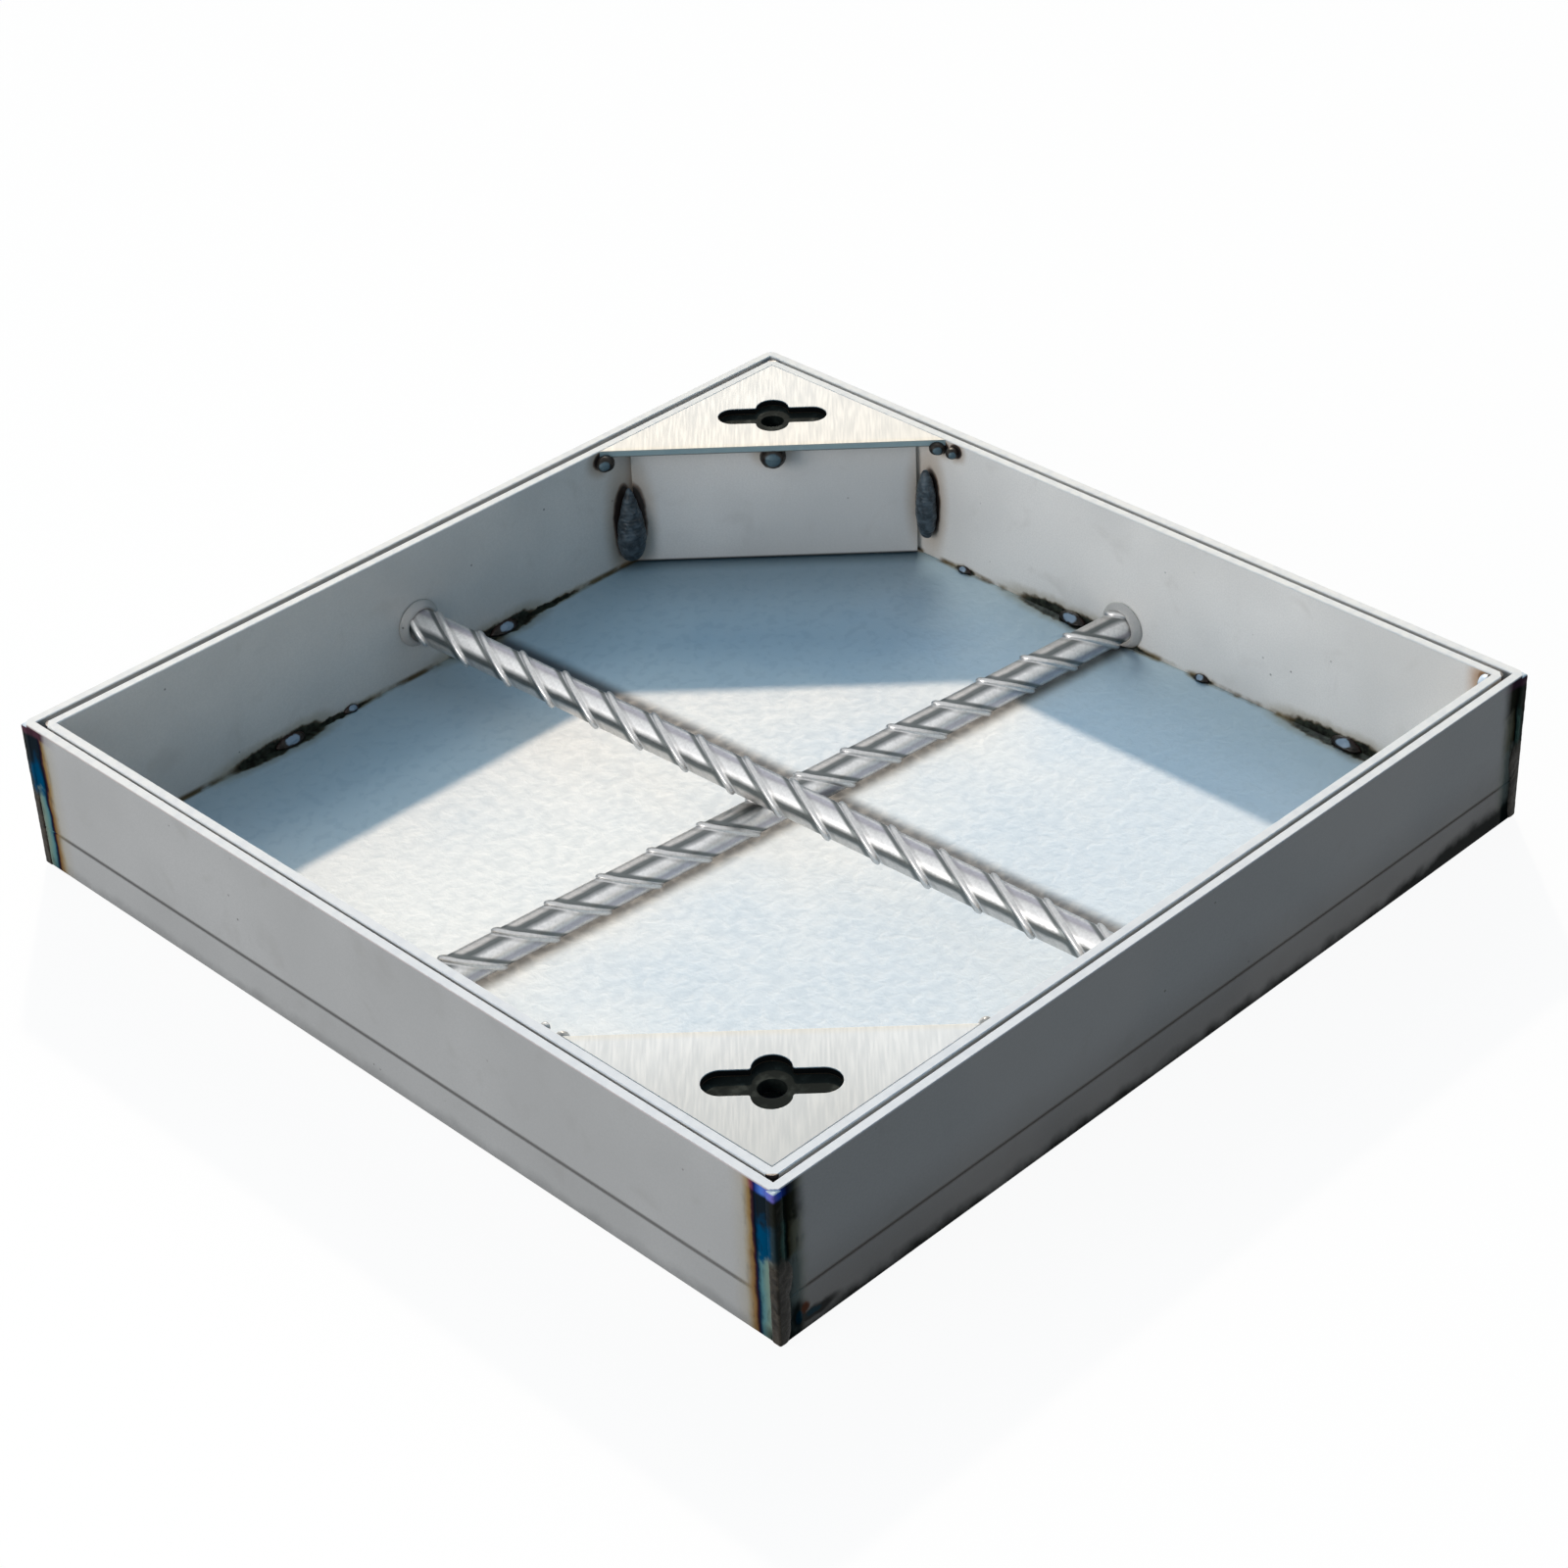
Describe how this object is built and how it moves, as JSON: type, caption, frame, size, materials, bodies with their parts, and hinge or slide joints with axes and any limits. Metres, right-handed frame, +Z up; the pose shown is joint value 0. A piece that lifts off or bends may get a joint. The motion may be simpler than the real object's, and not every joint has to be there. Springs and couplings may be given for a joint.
{
  "type": "recessed paving cover",
  "caption": "Square recessed paving cover: a welded tray with crossed ribbed bars and corner lifting plates, resting in a plate frame on seat angles.",
  "frame": {"origin": "middle of the underside, level with the seat flanges' lower faces", "axes": "+Z up, -Y towards the front wall, +X towards the right wall"},
  "size_m": [0.4012, 0.4012, 0.065],
  "materials": {
    "frame_plate": "mill finish stainless plate with faint rolling marks",
    "seat_angle": "mill finish stainless angle",
    "corner_weld": "weld bead with blue and straw heat tint",
    "tray_plate": "satin stainless plate",
    "tray_floor": "hammered hot-dip zinc",
    "lifting_plate": "brushed stainless plate",
    "key_strip": "dark mill scale",
    "ribbed_bar": "bright ribbed bar",
    "weld_metal": "weld metal with burnt edges"
  },
  "bodies": {
    "root": {"bar_lower": "ribbed_bar", "bar_upper": "ribbed_bar", "bar_weld_back": "weld_metal", "bar_weld_front": "weld_metal", "bar_weld_left": "weld_metal", "bar_weld_right": "weld_metal", "floor_tacks_back": "weld_metal", "floor_tacks_front": "weld_metal", "floor_tacks_left": "weld_metal", "floor_tacks_right": "weld_metal", "frame_corner_weld_back_left": "corner_weld", "frame_corner_weld_back_right": "corner_weld", "frame_corner_weld_front_left": "corner_weld", "frame_corner_weld_front_right": "corner_weld", "frame_stitches_back": "weld_metal", "frame_stitches_front": "weld_metal", "frame_stitches_left": "weld_metal", "frame_stitches_right": "weld_metal", "frame_wall_back": "frame_plate", "frame_wall_front": "frame_plate", "frame_wall_left": "frame_plate", "frame_wall_right": "frame_plate", "key_strip_back_right": "key_strip", "key_strip_front_left": "key_strip", "lifting_plate_back_right": "lifting_plate", "lifting_plate_front_left": "lifting_plate", "plate_edge_tacks_back_right": "weld_metal", "plate_edge_tacks_front_left": "weld_metal", "pocket_drop_weld_back_right": "weld_metal", "pocket_drop_weld_front_left": "weld_metal", "pocket_oval_weld_back_right": "weld_metal", "pocket_oval_weld_front_left": "weld_metal", "pocket_wall_back_right": "tray_plate", "pocket_wall_front_left": "tray_plate", "seat_angle_back": "seat_angle", "seat_angle_front": "seat_angle", "seat_angle_left": "seat_angle", "seat_angle_right": "seat_angle", "tray_corner_weld_back_left": "weld_metal", "tray_corner_weld_back_right": "weld_metal", "tray_corner_weld_front_left": "weld_metal", "tray_corner_weld_front_right": "weld_metal", "tray_floor": "tray_floor", "tray_inside_tack": "weld_metal", "tray_wall_back": "tray_plate", "tray_wall_front": "tray_plate", "tray_wall_left": "tray_plate", "tray_wall_right": "tray_plate"}
  },
  "joints": []
}
